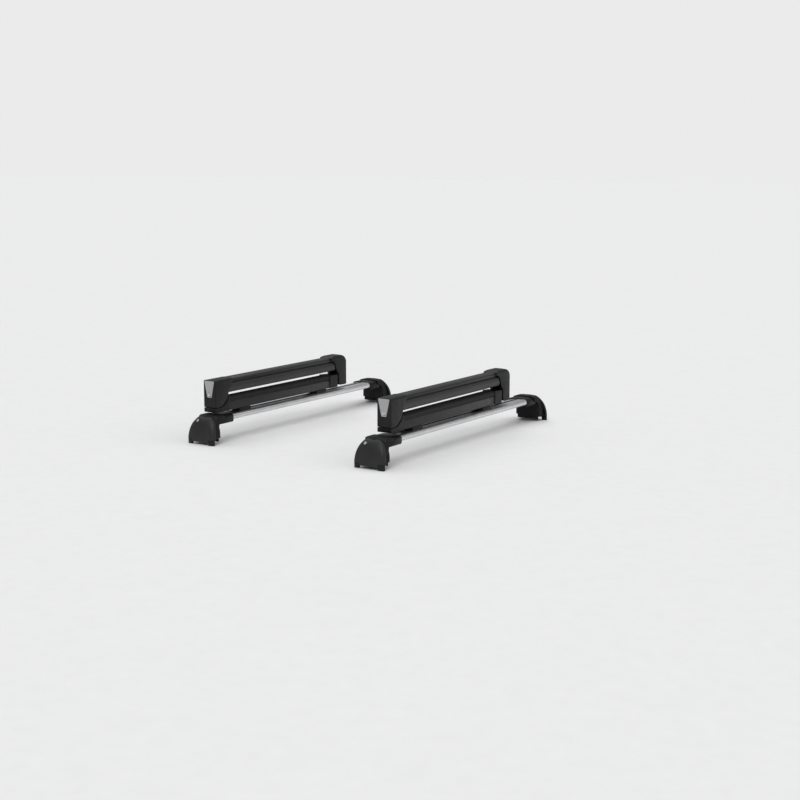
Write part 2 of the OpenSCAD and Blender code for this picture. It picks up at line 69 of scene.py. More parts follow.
# Light: the world's strength on the object, the backdrop's brightness, which the floor matches, and the suns
WORLD_LIGHT = 0.32
BACKDROP = 0.83
SUNS = (("key", 250, 52, 1.5, 40), ("back", 30, 60, 0.9, 50), ("side", 150, 40, 0.5, 50))
FLOOR_HALF = 40                                                    # metres

# Finishes: scales of the noises that they all share, per metre, and how those show
CLOUD_SCALE = 26
SMUDGE_SCALE = 70
SCUFF_SCALE = 34
SCUFF_STRETCH = (1, 7, 7)
SCUFF_RANGE = (0.60, 0.78)                                         # the part of the noise that shows
WAVE_SCALE = 45
WAVE_DEPTH = 2.5                                                   # times the grain's depth
WAVE_STRENGTH = 0.5
SPECKLE = 0.35                                                     # share of the grain in the colour
DRAWN_X = (0.012, 1, 1)                                            # grain drawn out along an extrusion

# Millimetres, in a carrier's own frame: x from its push-button end, y from its middle
RIB_PITCH = 3.0
RIB_DEPTH = 0.45
RIB_LEVEL = 0.35                                                   # ribs start where a face is this level
RIB_FADE = 3                                                       # the higher, the sooner they are deep
ARM_RUBBER_HALF_W = 23
ARM_RUBBER_POWER = 0.4                                             # the lower, the squarer its section
ARM_RUBBER_Z = (154, 188.5)                                        # the bulge, below the dark groove
ARM_RUBBER_NECK = (15, 192.5)                                      # (half width, top), in the groove
ARM_RUBBER_START = ((152, 65), (173, 71), (192.5, 87.5))           # (height, x) of the end at the latch
ARM_RUBBER_END = ((152, -62.5), (180, -72.5), (192.5, -84.5))      # the same at the hinge, from the hinge end
ARM_RUBBER_STATIONS = (0, 0.02, 0.5, 0.98, 1)                      # its rings, as shares of its length
BASE_RUBBER_Z = (126, 143)
BASE_RUBBER_HALF_W = 23
BASE_CROWN_HALF_W = 21.5
BASE_CROWN_H = 9
BASE_CROWN_POWER = 0.7
BASE_TONGUE = (13, 5.6)                                            # (half width, depth) of its foot
KEY_AT = (0, 156)                                                  # (y, z)
KEY_ARC = (200, 70, 14)                                            # (start, turn, steps), in degrees
KEY_ARC_R = (6.7, 7.7)
KEY_DOT_AT = (1.5, 164.1)
KEY_DOT_R = 0.9
MARK_H = 0.15                                                      # how far the marks stand proud
BUTTON_FACE_X = -0.8
END_CAP_LINES = (100.6, 106.4)                                     # heights of its two scored lines
LINE_HALF_W = 0.7
LINE_DEPTH = 0.8

# Millimetres, in a foot's own frame: x inwards from its outer face, y from its middle
COVER_HALF_W = 56
COVER_H = 92
COVER_Z = (9, 88)
COVER_WALL = 2.6
COVER_BEVEL = (0.5, 2)                                             # (width asked for, segments), see bevel
BODY_BEVEL = (1.0, 3)
JAW_BEVEL = (0.8, 3)
BELL_POWERS = (1.25, 0.4)                                          # of the height, and of the half width
PLAN_POWER = (5.2, 2.2)                                            # squareness at z 0, its loss at the top
EDGE_X = (15, 30)                                                  # its side edge, at its foot and hinge
EDGE_TOP_Z = 75
EDGE_POWER = 2.6
FACE_DEPTH = 50
NOTCH_Y = 34.4
NOTCH_Z = 18
HOLLOW_X = 38                                                      # where the hollow ends, past the edge
HOLLOW_Z = (-2, 87.5)
HINGE_AT = (30, 84.5)                                              # (x, z) of the cover's hinge
HINGE_GAP = (4.4, 6)                                               # (outwards, down) from the hinge
KNUCKLE_Y = (10, 22)
KNUCKLE_R = 3.8
LOCK_AT = (14.5, 20, 75)
LOCK_TILT = 35
LOCK_R = 5
LOCK_BOSS = (-9, 0.4)                                              # its ends along the lock's axis
LOCK_BOSS_WALL = 2.4
LOCK_BORE_REACH = 20
LOCK_PLAY = 0.1
DOME_PLAY = 0.2                                                    # from the cover's form to the body's dome
JAW_PLAY = 0.3
BODY_FRONT_X = 31                                                  # the body is inside the cover up to here
DOME_END_X = 50                                                    # end of the dome that carries on the cover
NECK_X = (33, 47.5)                                                # where the dome blends into the neck
NECK_HALF_W = 43
NECK_SHOULDER_Z = 78
NECK_ROUNDING = (3.2, 0.31)                                        # powers of the height and half width
NECK_CLEAR = (10, 6)                                               # (below the shoulder, wider by)
NECK_PLATE_HALF_W = 42
NECK_SIDE = ((45, 58), (50, 64), (58, 70), (76, 75), (76, 92), (45, 92))    # its side view, (x, z)
NECK_FORM_END_X = 80
TOWER_END_X = 47.9                                                 # the part of the body below the neck
BODY_TOP_Z = 91.4
FORM_DROP = 35                                                     # from the shoulder to its lowest ring
FORM_MARGIN = 6                                                    # how far the form reaches beyond the body
FORM_STEP = 0.2                                                    # from the body's front to the dome
SLEEVE_X = (48.2, 79)
SLEEVE_HALF_W = 39.3
SLEEVE_Z = (56, 89.1)
SLEEVE_CORNER_R = 9

# Millimetres, in the bar's own frame: y from its middle
BAR_W = 75
BAR_T = 20
BAR_TOP_Z = 87
SLOT_MOUTH_W = 11
SLOT_W = 22
SLOT_Z = (75.5, 84.4)
SLOT_LIP = 0.6
WING_POWER = 0.62                                                  # the lower, the blunter its two edges
WING_TAPER = 0.22                                                  # thins it towards its rear edge
WING_BOW = 0.68                                                    # share of its thickness above its middle


# ---------------------------------------------------------------- camera, floor and light

def add_camera():
    data = bpy.data.cameras.new("camera")
    data.lens = CAMERA_LENS
    data.sensor_width = 36
    data.clip_end = 100
    camera = bpy.data.objects.new("camera", data)
    camera.location = CAMERA_AT
    camera.rotation_euler = (radians(90 - CAMERA_TILT), 0, radians(-CAMERA_HEADING))
    bpy.context.scene.collection.objects.link(camera)
    bpy.context.scene.camera = camera


def add_sun(name, azimuth, elevation, power, width):
    """A very wide sun, which lights like a large soft box far away; azimuth runs from +Y towards +X."""
    data = bpy.data.lights.new(name, "SUN")
    data.energy = power
    data.angle = radians(width)
    light = bpy.data.objects.new(name, data)
    light.rotation_euler = (radians(90 - elevation), 0, radians(180 - azimuth))
    bpy.context.scene.collection.objects.link(light)


def add_world():
    """A pale backdrop that lights the object less than it shows, so that black plastic stays black."""
    world = bpy.data.worlds.new("studio")
    world.use_nodes = True
    tree = world.node_tree
    light = tree.nodes["Background"]
    light.inputs["Color"].default_value = (0.97, 0.98, 1, 1)
    light.inputs["Strength"].default_value = WORLD_LIGHT
    backdrop = tree.nodes.new("ShaderNodeBackground")
    backdrop.inputs["Color"].default_value = (1, 1, 1, 1)
    backdrop.inputs["Strength"].default_value = BACKDROP
    mix = tree.nodes.new("ShaderNodeMixShader")
    seen = tree.nodes.new("ShaderNodeLightPath")
    tree.links.new(seen.outputs["Is Camera Ray"], mix.inputs["Fac"])
    tree.links.new(light.outputs["Background"], mix.inputs[1])
    tree.links.new(backdrop.outputs["Background"], mix.inputs[2])
    tree.links.new(mix.outputs["Shader"], tree.nodes["World Output"].inputs["Surface"])
    bpy.context.scene.world = world


def add_studio():
    add_world()
    bpy.context.scene.view_settings.view_transform = "Standard"
    for sun in SUNS:
        add_sun(*sun)
    floor = bpy.data.meshes.new("floor")
    corners = [(x * FLOOR_HALF, y * FLOOR_HALF, 0) for x, y in ((-1, -1), (1, -1), (1, 1), (-1, 1))]
    floor.from_pydata(corners, [], [(0, 1, 2, 3)])
    floor_object = bpy.data.objects.new("floor", floor)
    bpy.context.scene.collection.objects.link(floor_object)
    floor.materials.append(floor_material())


# ---------------------------------------------------------------- materials

def linear(grey, tint=(1, 1, 1)):
    """An 8-bit display grey as a linear colour."""
    value = (grey / 255) ** 2.2
    return (value * tint[0], value * tint[1], value * tint[2], 1)


def add_node(tree, kind, **settings):
    node = tree.nodes.new(kind)
    for name, value in settings.items():
        setattr(node, name, value)
    return node


def noise(tree, scale, detail=2, stretch=(1, 1, 1), seed=0):
    """Noise of a scale per metre in the object's own coordinates; stretch draws it out along an axis."""
    coordinates = add_node(tree, "ShaderNodeTexCoord")
    mapping = add_node(tree, "ShaderNodeMapping")
    mapping.inputs["Scale"].default_value = stretch
    mapping.inputs["Location"].default_value = (seed, 0.37 * seed, 0.61 * seed)
    texture = add_node(tree, "ShaderNodeTexNoise")
    texture.inputs["Scale"].default_value = scale
    texture.inputs["Detail"].default_value = detail
    tree.links.new(coordinates.outputs["Object"], mapping.inputs["Vector"])
    tree.links.new(mapping.outputs["Vector"], texture.inputs["Vector"])
    return texture.outputs["Fac"]


def remap(tree, value, low, high, start=0.3, end=0.7):
    node = add_node(tree, "ShaderNodeMapRange")
    node.inputs["From Min"].default_value = start
    node.inputs["From Max"].default_value = end
    node.inputs["To Min"].default_value = low
    node.inputs["To Max"].default_value = high
    tree.links.new(value, node.inputs["Value"])
    return node.outputs["Result"]


def mix_colour(tree, factor, first, second):
    node = add_node(tree, "ShaderNodeMix", data_type="RGBA")
    tree.links.new(factor, node.inputs["Factor"])
    for value, socket in ((first, node.inputs[6]), (second, node.inputs[7])):
        if isinstance(value, tuple):
            socket.default_value = value
        else:
            tree.links.new(value, socket)
    return node.outputs[2]


def bump(tree, height, depth, strength=1.0, normal=None):
    node = add_node(tree, "ShaderNodeBump")
    node.inputs["Distance"].default_value = depth
    node.inputs["Strength"].default_value = strength
    tree.links.new(height, node.inputs["Height"])
    if normal:
        tree.links.new(normal, node.inputs["Normal"])
    return node.outputs["Normal"]


def surface(name, dark, light, rough, grain, depth, along=None, wear=0.0, wear_colour=None, **constants):
    """One finish: cloudy colour from dark to light, varying roughness, a fine grain and faint scuffs.

    grain is the grain's scale per metre and depth its height in metres; along stretches it into drawn lines.
    """
    material = bpy.data.materials.new(name)
    material.use_nodes = True
    tree = material.node_tree
    shader = tree.nodes["Principled BSDF"]
    for socket, value in constants.items():
        shader.inputs[socket.replace("_", " ")].default_value = value

    clouds = remap(tree, noise(tree, CLOUD_SCALE, 4, seed=1.3), 0, 1)
    fine = noise(tree, grain, 3, along or (1, 1, 1), seed=2.1)
    colour = mix_colour(tree, clouds, dark, light)
    speckle = remap(tree, fine, 0, SPECKLE)
    colour = mix_colour(tree, speckle, colour, light)
    smudges = noise(tree, SMUDGE_SCALE, 5, seed=4.7)
    roughness = remap(tree, smudges, rough[0], rough[1])
    if wear:
        streaks = noise(tree, SCUFF_SCALE, 6, SCUFF_STRETCH, seed=7.9)
        scuffs = remap(tree, streaks, 0, wear, *SCUFF_RANGE)
        colour = mix_colour(tree, scuffs, colour, wear_colour or light)
    tree.links.new(colour, shader.inputs["Base Color"])
    tree.links.new(roughness, shader.inputs["Roughness"])
    waves = bump(tree, noise(tree, WAVE_SCALE, 2, seed=9.2), WAVE_DEPTH * depth, WAVE_STRENGTH)
    tree.links.new(bump(tree, fine, depth, 1.0, waves), shader.inputs["Normal"])
    return material


def floor_material():
    return surface("floor", linear(229), linear(232), (0.8, 0.9), 240, 0.000001, Specular_IOR_Level=0.0)


MATERIALS = {
    "black_aluminium": surface("black_aluminium", linear(30), linear(38), (0.36, 0.46), 900, 0.00003, DRAWN_X,
                               0.3, linear(60), Specular_IOR_Level=0.4),
    "bar_aluminium": surface("bar_aluminium", linear(206), linear(222, (1, 1, 1.02)), (0.27, 0.38), 1100,
                             0.00003, DRAWN_X, 0.1, linear(180), Metallic=1.0, Anisotropic=0.45),
    "carrier_plastic": surface("carrier_plastic", linear(20), linear(28), (0.44, 0.54), 1500, 0.00005, None,
                               0.25, linear(46), Specular_IOR_Level=0.3),
    "foot_plastic": surface("foot_plastic", linear(17), linear(24), (0.58, 0.68), 1400, 0.00006, None,
                            0.25, linear(42), Specular_IOR_Level=0.28),
    "cover_plastic": surface("cover_plastic", linear(34), linear(42), (0.46, 0.55), 1700, 0.00005, None,
                             0.25, linear(50), Specular_IOR_Level=0.35),
    "gloss_sleeve": surface("gloss_sleeve", linear(8), linear(13), (0.28, 0.38), 1500, 0.00001, None,
                            0.2, linear(30), Specular_IOR_Level=0.2),
    "button_grey": surface("button_grey", linear(156), linear(167, (1, 1, 1.03)), (0.36, 0.46), 1900, 0.00002,
                           None, 0.15, linear(112), Specular_IOR_Level=0.4),
    "lower_rubber": surface("lower_rubber", linear(17), linear(25), (0.58, 0.70), 1300, 0.00006, None,
                            0.4, linear(46), Specular_IOR_Level=0.3, Sheen_Weight=0.05, Sheen_Roughness=0.5),
    "upper_rubber": surface("upper_rubber", linear(26), linear(36), (0.42, 0.52), 1300, 0.00004, None,
                            0.4, linear(56), Specular_IOR_Level=0.45, Sheen_Weight=0.08, Sheen_Roughness=0.5),
    "strip_rubber": surface("strip_rubber", linear(16), linear(24), (0.6, 0.72), 1300, 0.00006, DRAWN_X,
                            0.3, linear(44), Specular_IOR_Level=0.3),
    "pad_rubber": surface("pad_rubber", linear(14), linear(22), (0.66, 0.8), 1100, 0.00008, None,
                          0.3, linear(42), Specular_IOR_Level=0.3),
    "jaw_metal": surface("jaw_metal", linear(14), linear(20), (0.42, 0.54), 700, 0.0001, None,
                         0.3, linear(50), Specular_IOR_Level=0.35),
    "lock_steel": surface("lock_steel", linear(206), linear(222), (0.24, 0.34), 1400, 0.00002, None,
                          0.2, linear(150), Metallic=1.0),
    "steel": surface("steel", linear(150), linear(176, (1.02, 1, 0.95)), (0.3, 0.44), 1000, 0.00004, None,
                     0.3, linear(104), Metallic=1.0),
}


# ---------------------------------------------------------------- mesh helpers

def carrier_frame(row):
    """Carrier millimetres to metres in the rack's frame."""
    low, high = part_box(row + "_latch_housing")
    return Matrix.Translation((low[0], (low[1] + high[1]) / 2, 0)) @ Matrix.Scale(MM, 4)


def foot_frame(row, side):
    """Foot millimetres to metres in the rack's frame; the left feet are mirror images."""
    low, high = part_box(f"{row}_{side}_foot_cover")
    inwards = 1 if side == "right" else -1
    outer = low[0] if side == "right" else high[0]
    place = Matrix.Translation((outer, (low[1] + high[1]) / 2, 0))
    return place @ Matrix.Diagonal((inwards * MM, MM, MM, 1))


def link(mesh, name):
    obj = bpy.data.objects.new(name, mesh)
    bpy.context.scene.collection.objects.link(obj)
    return obj


def to_object(bm, name, place=None):
    """Closes a bmesh built in millimetres and sets it in the rack's frame."""
    if place:
        bm.transform(place)
    bmesh.ops.remove_doubles(bm, verts=bm.verts, dist=1e-6)
    bmesh.ops.recalc_face_normals(bm, faces=bm.faces)
    mesh = bpy.data.meshes.new(name)
    bm.to_mesh(mesh)
    bm.free()
    return link(mesh, name)


def loft(rings, caps=True):
    """Skin through closed rings of equal length, with a face over each end."""
    bm = bmesh.new()
    loops = [[bm.verts.new(p) for p in ring] for ring in rings]
    for low, high in zip(loops, loops[1:]):
        for i in range(len(low)):
            j = (i + 1) % len(low)
            bm.faces.new((low[i], low[j], high[j], high[i]))
    if caps:
        bm.faces.new(loops[0][::-1])
        bm.faces.new(loops[-1])
    return bm


def rod(start, end, radius, sides=32):
    """Round bar between two points, as a bmesh."""
    axis = (Vector(end) - Vector(start)).normalized()
    across = axis.orthogonal().normalized()
    other = axis.cross(across)
    circle = [radius * (cos(a) * across + sin(a) * other) for a in (2 * pi * i / sides for i in range(sides))]
    return loft([[Vector(p) + c for c in circle] for p in (start, end)])


def box_mesh(low, high):
    corners = [(low[0], low[1]), (high[0], low[1]), (high[0], high[1]), (low[0], high[1])]
    return loft([[(x, y, z) for x, y in corners] for z in (low[2], high[2])])


def apply_modifiers(obj):
    """Replaces the object's mesh by the result of its modifiers."""
    graph = bpy.context.evaluated_depsgraph_get()
    result = bpy.data.meshes.new_from_object(obj.evaluated_get(graph))
    obj.modifiers.clear()
    obj.data = result
    return obj


def boolean(obj, other, operation):
    """Cuts with or joins another object, which is then deleted."""
    mod = obj.modifiers.new("boolean", "BOOLEAN")
    mod.operation = operation
    mod.solver = "EXACT"
    mod.object = other
    apply_modifiers(obj)
    bpy.data.objects.remove(other)
    return obj


def smooth(obj, angle=32):
    obj.data.shade_smooth()
    obj.data.set_sharp_from_angle(angle=radians(angle))
    return obj


def bevel(obj, width, segments=3, angle=28):
    """Rounds sharp edges; a mesh's very short edges clamp the width, in some pieces to almost nothing."""
    mod = obj.modifiers.new("bevel", "BEVEL")
    mod.width = width * MM
    mod.segments = segments
    mod.limit_method = "ANGLE"
    mod.angle_limit = radians(angle)
    mod.use_clamp_overlap = True
    mod.miter_outer = "MITER_ARC"
    return apply_modifiers(obj)


def node_mesh(node):
    """A CAD node's mesh with its flat facets merged."""
    bm = bmesh.new()
    bm.from_mesh(frame["nodes"][node].data)
    bmesh.ops.remove_doubles(bm, verts=bm.verts, dist=1e-6)
    bmesh.ops.dissolve_limit(bm, angle_limit=radians(0.6), verts=bm.verts, edges=bm.edges)
    return bm


def score(bm, height, half_w, depth):
    """Presses a V-shaped line into all the faces that cross one height."""
    for z in (height - half_w, height, height + half_w):
        geometry = bm.verts[:] + bm.edges[:] + bm.faces[:]
        bmesh.ops.bisect_plane(bm, geom=geometry, plane_co=(0, 0, z * MM), plane_no=(0, 0, 1))
    bm.normal_update()
    for vert in bm.verts:
        outward = Vector((vert.normal.x, vert.normal.y, 0))
        if abs(vert.co.z - height * MM) < 1e-6 and outward.length > 0.1:
            vert.co -= outward.normalized() * depth * MM


def soft_copy(node, width, segments=2, lines=()):
    """A CAD node with its edges bevelled, and any scored lines."""
    bm = node_mesh(node)
    for height in lines:
        score(bm, height, LINE_HALF_W, LINE_DEPTH)
    mesh = bpy.data.meshes.new(node)
    bm.to_mesh(mesh)
    bm.free()
    return smooth(bevel(link(mesh, node + "_shell"), width, segments))


def dress(piece, body, slot):
    """Gives a piece its finish and the body that it rides on."""
    piece.data.materials.clear()
    piece.data.materials.append(MATERIALS[slot])
    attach(piece, body)


def stand_for(piece, node):
    """Lets a piece take the place of a CAD node."""
    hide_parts(node)
    dress(piece, NODE_BODY[node], NODE_SLOT[node])


# ---------------------------------------------------------------- cross bar

def wing_point(a):
    """A point of the bar's wing section, [y, z]: blunt to the front, thinner to the rear, flat on top."""
    bow = abs(sin(a)) ** WING_POWER * (1 - WING_TAPER * (1 + cos(a))) * BAR_T * WING_BOW
    middle = BAR_TOP_Z - BAR_T / 2
    z = min(middle + bow, BAR_TOP_Z) if sin(a) >= 0 else max(middle - bow, BAR_TOP_Z - BAR_T)
    return (BAR_W / 2 * cos(a), z)


def bar_section(steps=96):
    wing = [wing_point(2 * pi * i / steps) for i in range(steps)]
    mouth = SLOT_MOUTH_W / 2
    slot = [(mouth + SLOT_LIP, BAR_TOP_Z), (mouth, BAR_TOP_Z - SLOT_LIP), (mouth, SLOT_Z[1]),
            (SLOT_W / 2, SLOT_Z[1]), (SLOT_W / 2, SLOT_Z[0])]
    slot += [(-y, z) for y, z in reversed(slot)]
    middle = BAR_TOP_Z - BAR_T / 2
    clear = mouth + 2 * SLOT_LIP
    top = [p for p in wing if p[1] >= middle and p[0] > clear]
    rest = [p for p in wing if p not in top and (p[0] < -clear or p[1] < middle)]
    return top + slot + rest


def add_crossbar(row):
    node = row + "_crossbar"
    low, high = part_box(node)
    mid_y = (low[1] + high[1]) / 2
    rings = [[(x, mid_y + y * MM, z * MM) for y, z in bar_section()] for x in (low[0], high[0])]
    stand_for(smooth(to_object(loft(rings), node + "_wing"), 24), node)


# ---------------------------------------------------------------- rubbers

def between(table, z):
    """Straight-line interpolation in a table of (z, value) pairs."""
    for (z0, v0), (z1, v1) in zip(table, table[1:]):
        if z <= z1:
            return v0 + (v1 - v0) * (z - z0) / (z1 - z0)
    return table[-1][1]


def ribbed(outline, facing):
    """Presses shallow lengthwise grooves into the part of an outline that faces up (1) or down (-1)."""
    result = []
    travel = 0.0
    count = len(outline)
    for i, (y, z) in enumerate(outline):
        ahead = outline[(i + 1) % count]
        behind = outline[i - 1]
        tangent = Vector((ahead[0] - behind[0], ahead[1] - behind[1])).normalized()
        outward = Vector((tangent.y, -tangent.x))
        share = max(0.0, facing * outward.y - RIB_LEVEL)
        groove = RIB_DEPTH * min(1.0, RIB_FADE * share) * (0.5 - 0.5 * cos(2 * pi * travel / RIB_PITCH))
        result.append((y - groove * outward.x, z - groove * outward.y))
        travel += (Vector(ahead) - Vector((y, z))).length
    return result


def strip_caps(bm, ring):
    """Closes an end that bends with height: one face between each pair of opposite points."""
    half = len(ring) // 2
    for i in range(1, half):
        left, lower_left = ring[-i], ring[-i - 1]
        right, lower_right = ring[i], ring[i + 1]
        corners = (left, right, lower_right, lower_left)
        corners = [v for k, v in enumerate(corners) if v not in corners[:k]]
        bm.faces.new(corners)
    bm.faces.new((ring[0], ring[1], ring[-1]))


def add_arm_rubber(row):
    node = row + "_arm_rubber"
    steps = 90
    mid_z = sum(ARM_RUBBER_Z) / 2
    half_h = (ARM_RUBBER_Z[1] - ARM_RUBBER_Z[0]) / 2
    neck_half_w, neck_top = ARM_RUBBER_NECK
    turns = [pi * i / steps for i in range(steps + 1)]
    bulge = [(ARM_RUBBER_HALF_W * sin(a) ** ARM_RUBBER_POWER, mid_z - half_h * cos(a)) for a in turns]
    side = [(y, z) for y, z in bulge if z < mid_z or y > neck_half_w]
    side += [(neck_half_w, side[-1][1] + 0.2), (neck_half_w, neck_top), (0, neck_top)]
    outline = side + [(-y, z) for y, z in side[-2:0:-1]]
    outline = ribbed(outline, -1)
    half = len(outline) // 2
    mirrored = [(-y, z) for y, z in outline[half - 1:0:-1]]
    outline = outline[:half + 1] + mirrored
    length = (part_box(row + "_hinge_cap")[1][0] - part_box(row + "_latch_housing")[0][0]) / MM
    rings = []
    for share in ARM_RUBBER_STATIONS:
        ring = []
        for y, z in outline:
            start = between(ARM_RUBBER_START, z)
            ring.append((start + (length + between(ARM_RUBBER_END, z) - start) * share, y, z))
        rings.append(ring)
    bm = loft(rings, caps=False)
    bm.verts.ensure_lookup_table()
    count = len(outline)
    strip_caps(bm, bm.verts[:count])
    strip_caps(bm, bm.verts[-count:])
    stand_for(smooth(to_object(bm, node + "_bulge", carrier_frame(row)), 40), node)


def add_base_rubber(row):
    node = row + "_base_rubber"
    low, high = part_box(node)
    steps = 120
    foot_z, crown_z = BASE_RUBBER_Z
    tongue_half_w, tongue_depth = BASE_TONGUE
    turns = [pi * i / steps for i in range(steps + 1)]
    crown = [(BASE_CROWN_HALF_W * cos(a), crown_z - BASE_CROWN_H + BASE_CROWN_H * sin(a) ** BASE_CROWN_POWER)
             for a in turns]
    right = [(tongue_half_w, foot_z - tongue_depth), (tongue_half_w, foot_z),
             (BASE_RUBBER_HALF_W - 1, foot_z + 0.2), (BASE_RUBBER_HALF_W, foot_z + 1.4),
             (BASE_RUBBER_HALF_W - 0.6, foot_z + 4)]
    lower = [(-y, z) for y, z in reversed(right)] + right
    outline = ribbed(crown + lower, 1)
    ends = (low[0], high[0])
    mid_y = (low[1] + high[1]) / 2
    rings = [[(x, mid_y + y * MM, z * MM) for y, z in outline] for x in ends]
    stand_for(smooth(to_object(loft(rings), node + "_bed"), 40), node)


# ---------------------------------------------------------------- foot cover

def bell(z, inset=0):
    """Half width of the cover's form and how far its face leans back, at one height, less an inset."""
    rise_power, side_power = BELL_POWERS
    rise = (max(z, 0) / (COVER_H - inset)) ** rise_power
    side = (1 - rise * rise) ** side_power
    return (COVER_HALF_W - inset) * side, inset + FACE_DEPTH * (1 - side)


def plan_power(z):
    """How square the form's plan is at one height: 2 would be an ellipse."""
    return PLAN_POWER[0] - PLAN_POWER[1] * (z / COVER_H) ** 2


def cover_row(z, edge_x, inset=0, across=28):
    """The form's closed plan at one height: a rounded face and a straight inboard side."""
    half_w, face_x = bell(z, inset)
    power = 2 / plan_power(z)
    side = []
    for i in range(across + 1):
        t = pi / 2 * i / across
        side.append((edge_x - (edge_x - face_x) * sin(t) ** power, half_w * cos(t) ** power, z))
    return side + [(x, -y, z) for x, y, z in side[-2::-1]]


def cover_edge_x(z):
    """Where the cover's side edge runs at one height."""
    low_x, high_x = EDGE_X
    return low_x + (high_x - low_x) * min(1, z / EDGE_TOP_Z) ** EDGE_POWER


def cover_form(edge_x, from_z, to_z, inset=0, steps=44):
    """The form between two heights, its rings closer together towards the top."""
    rings = []
    for i in range(steps + 1):
        z = from_z + (to_z - from_z) * sin(pi / 2 * i / steps) ** 0.9
        rings.append(cover_row(z, edge_x(z), inset))
    return loft(rings)


def lock_axis():
    return Vector((-cos(radians(LOCK_TILT)), 0, sin(radians(LOCK_TILT))))


def lock_spot(along):
    """A point on the foot lock's axis, measured outwards."""
    return Vector(LOCK_AT) + lock_axis() * along


def add_foot_cover(row, side):
    node = f"{row}_{side}_foot_cover"
    place = foot_frame(row, side)
    cover = to_object(cover_form(cover_edge_x, *COVER_Z), node + "_shell", place)
    hollow = cover_form(lambda z: HOLLOW_X, *HOLLOW_Z, COVER_WALL)
    boolean(cover, to_object(hollow, "hollow", place), "DIFFERENCE")
    for y in (-1, 1):
        low, high = sorted((y * NOTCH_Y, y * 2 * COVER_HALF_W))
        notch = box_mesh((-5, low, 0), (FACE_DEPTH, high, NOTCH_Z))
        boolean(cover, to_object(notch, "notch", place), "DIFFERENCE")
    gap_low = (HINGE_AT[0] - HINGE_GAP[0], -KNUCKLE_Y[0], HINGE_AT[1] - HINGE_GAP[1])
    gap = box_mesh(gap_low, (FACE_DEPTH, KNUCKLE_Y[0], COVER_H))
    boolean(cover, to_object(gap, "gap", place), "DIFFERENCE")
    for y in (-1, 1):
        ends = [(HINGE_AT[0], y * v, HINGE_AT[1]) for v in KNUCKLE_Y]
        boolean(cover, to_object(rod(*ends, KNUCKLE_R), "knuckle", place), "UNION")
    boss = rod(lock_spot(LOCK_BOSS[0]), lock_spot(LOCK_BOSS[1]), LOCK_R + LOCK_BOSS_WALL)
    boolean(cover, to_object(boss, "boss", place), "UNION")
    bore = rod(lock_spot(-LOCK_BORE_REACH), lock_spot(LOCK_BORE_REACH), LOCK_R + LOCK_PLAY)
    boolean(cover, to_object(bore, "bore", place), "DIFFERENCE")
    stand_for(smooth(bevel(cover, *COVER_BEVEL)), node)


# ---------------------------------------------------------------- foot body

def ease(value, low, high):
    """A smooth step from 0 at low to 1 at high."""
    share = min(max((value - low) / (high - low), 0), 1)
    return share * share * (3 - 2 * share)


def dome_half_w(x, z):
    """Half width of the dome that carries on the cover's form, at one place and height."""
    half_w, face_x = bell(z, DOME_PLAY)
    power = plan_power(z)
    share = min(max((DOME_END_X - x) / (DOME_END_X - face_x), 0), 1)
    return half_w * (1 - share ** power) ** (1 / power)


def neck_half_w(z):
    """Half width of the neck's rounded top; lower down the form stands clear of the neck."""
    rise_power, side_power = NECK_ROUNDING
    drop, wider = NECK_CLEAR
    rise = max(z - NECK_SHOULDER_Z, 0) / (BODY_TOP_Z + 1 - NECK_SHOULDER_Z)
    half_w = NECK_HALF_W * (1 - rise ** rise_power) ** side_power
    return half_w + (wider if z < NECK_SHOULDER_Z - drop else 0)


def body_form(end_x, steps=40):
    """A block up to one place, with the dome and the rounded neck as its top, to trim other pieces with."""
    half_block = COVER_HALF_W + FORM_MARGIN
    length = end_x - BODY_FRONT_X - FORM_STEP
    xs = [BODY_FRONT_X + FORM_STEP + length * i / steps for i in range(steps + 1)]
    rings = []
    for i in range(steps + 1):
        rise = (BODY_TOP_Z - NECK_SHOULDER_Z + FORM_DROP) * sin(pi / 2 * i / steps)
        z = NECK_SHOULDER_Z - FORM_DROP + rise
        side = [(-FORM_MARGIN, half_block, z), (BODY_FRONT_X, half_block, z)]
        for x in xs:
            dome = dome_half_w(x, z)
            side.append((x, dome + (neck_half_w(z) - dome) * ease(x, *NECK_X), z))
        rings.append(side + [(x, -y, z) for x, y, z in reversed(side)])
    below = [(x, half_block if y > 0 else -half_block, 0) for x, y, _ in rings[0]]
    return loft([below] + rings)


def sleeve_form():
    """The room for the bar's sleeve inside the neck: a block with rounded upper edges."""
    top, half_w, r = SLEEVE_Z[1], SLEEVE_HALF_W, SLEEVE_CORNER_R
    arc = [(half_w - r + r * cos(radians(a)), top - r + r * sin(radians(a))) for a in range(0, 91, 10)]
    section = [(-half_w, SLEEVE_Z[0]), (half_w, SLEEVE_Z[0])] + arc + [(-y, z) for y, z in reversed(arc)]
    return loft([[(x, y, z) for y, z in section] for x in SLEEVE_X])


def raw_copy(node):
    """A closed copy of a CAD node's mesh, for a boolean."""
    bm = bmesh.new()
    bm.from_mesh(frame["nodes"][node].data)
    return to_object(bm, node + "_form")


def tidy_cut(obj, merge=0.12):
    """Joins the larger slivers that a boolean leaves; short edges stay, and still clamp the bevel."""
    bm = bmesh.new()
    bm.from_mesh(obj.data)
    bmesh.ops.remove_doubles(bm, verts=bm.verts, dist=merge * MM)
    bmesh.ops.dissolve_limit(bm, angle_limit=radians(0.8), verts=bm.verts, edges=bm.edges)
    bm.to_mesh(obj.data)
    bm.free()
    return obj


